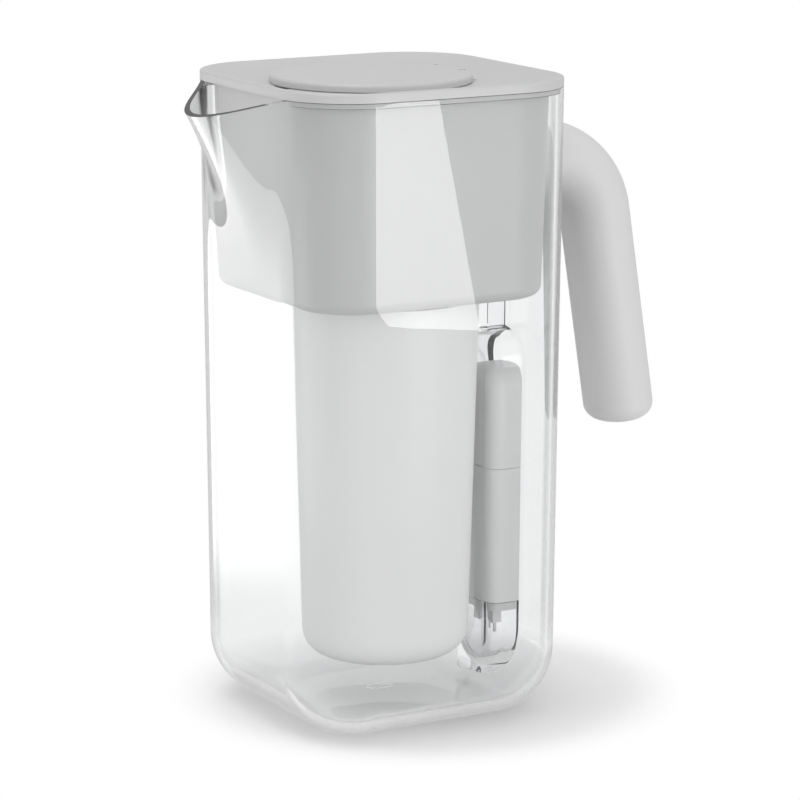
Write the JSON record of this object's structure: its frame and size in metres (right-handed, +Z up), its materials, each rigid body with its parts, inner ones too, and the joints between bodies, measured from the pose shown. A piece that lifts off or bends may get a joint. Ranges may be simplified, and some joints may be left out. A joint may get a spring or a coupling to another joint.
{
  "type": "water filter pitcher",
  "caption": "Clear square pitcher with pouring spout, J handle, dished lid with flip-up fill door, lift-out reservoir, twist-in filter and a water meter kept in a rear niche.",
  "frame": {"origin": "middle of the flat base, on the surface that the pitcher stands on", "axes": "+Z up, +X towards the handle, -X towards the spout"},
  "size_m": [0.2212, 0.1278, 0.27],
  "materials": {
    "clear_plastic": "clear moulded plastic",
    "handle_white": "fine matte moulding",
    "lid_white": "satin moulding",
    "tub_white": "satin moulding",
    "filter_white": "satin moulding",
    "seal_silicone": "soft silicone",
    "steel": "bright metal",
    "screen_mesh": "fine mesh",
    "foam": "open foam",
    "carbon": "packed granules",
    "resin": "packed beads",
    "membrane": "felt",
    "meter_white": "satin moulding",
    "board_green": "coated board",
    "dark_plastic": "dark gloss",
    "button_grey": "soft matte"
  },
  "bodies": {
    "pitcher": {"pitcher_body": "clear_plastic", "handle_shell": "handle_white", "handle_screws": "steel"},
    "reservoir": {"reservoir": "tub_white"},
    "lid": {"lid_plate": "lid_white", "door_hinge_pin": "steel"},
    "fill_door": {"fill_door": "lid_white", "door_seal": "seal_silicone"},
    "filter": {"filter_shell": "filter_white", "filter_cap": "filter_white", "filter_gasket": "seal_silicone", "coarse_screen": "screen_mesh", "foam_distributor": "foam", "carbon_bed": "carbon", "resin_bed": "resin", "fine_membrane": "membrane"},
    "meter": {"meter_body": "meter_white", "battery_cover": "meter_white", "meter_cap": "clear_plastic", "probe_holder": "meter_white", "probe_pins": "steel", "circuit_board": "board_green", "battery_tray": "meter_white", "battery_cells": "steel", "display_lens": "clear_plastic", "display_panel": "dark_plastic", "press_switch": "dark_plastic"},
    "meter_button": {"meter_button": "button_grey"}
  },
  "joints": [
    {"name": "reservoir_lift", "type": "slide", "parent": "pitcher", "child": "reservoir", "axis": [0, 0, 1], "range_m": [0, 0.25]},
    {"name": "lid_lift", "type": "slide", "parent": "reservoir", "child": "lid", "axis": [0, 0, 1], "range_m": [0, 0.05]},
    {"name": "fill_door_hinge", "type": "hinge", "parent": "lid", "child": "fill_door", "pos_m": [0.034, 0, 0.2684], "axis": [0, 1, 0], "range_deg": [0, 100]},
    {"name": "filter_twist", "type": "hinge", "parent": "reservoir", "child": "filter", "pos_m": [0.001, 0, 0.1796], "axis": [0, 0, 1], "range_deg": [-40, 0]},
    {"name": "meter_pull", "type": "slide", "parent": "pitcher", "child": "meter", "axis": [1, 0, 0], "range_m": [0, 0.022]},
    {"name": "meter_button_press", "type": "slide", "parent": "meter", "child": "meter_button", "axis": [-1, 0, 0], "range_m": [0, 0.0008], "stiffness_N_per_m": 400}
  ]
}
